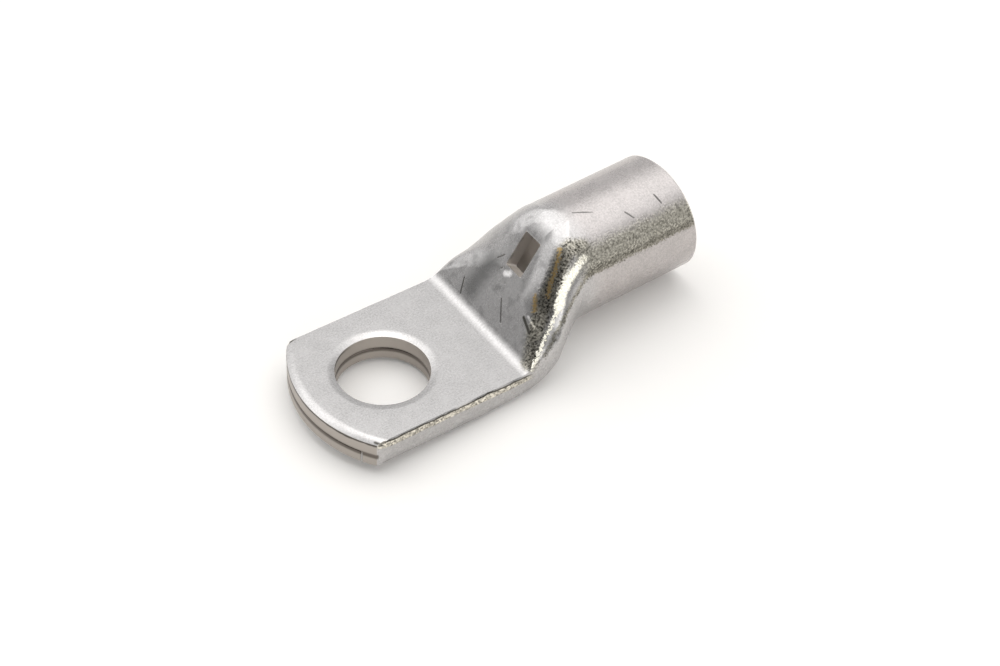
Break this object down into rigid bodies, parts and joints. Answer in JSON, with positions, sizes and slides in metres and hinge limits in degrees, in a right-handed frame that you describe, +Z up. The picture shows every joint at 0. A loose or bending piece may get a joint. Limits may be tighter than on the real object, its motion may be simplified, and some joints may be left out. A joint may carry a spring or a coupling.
{
  "type": "ring cable lug",
  "caption": "Crimp cable lug pressed from one copper tube: a flat palm with a stud hole, a sloping ramp with an inspection window, and a round barrel for the cable.",
  "frame": {"origin": "centre of the stud hole on the palm's underside", "axes": "+X along the lug towards the barrel's mouth, +Z up through the stud hole, +Y across the palm"},
  "size_m": [0.0587, 0.0234, 0.0193],
  "materials": {
    "tinned_copper": "satin tin plating over copper, finely mottled, with a grainy skin where the tube was bent"
  },
  "bodies": {
    "root": {"cable_lug": "tinned_copper"}
  },
  "joints": []
}
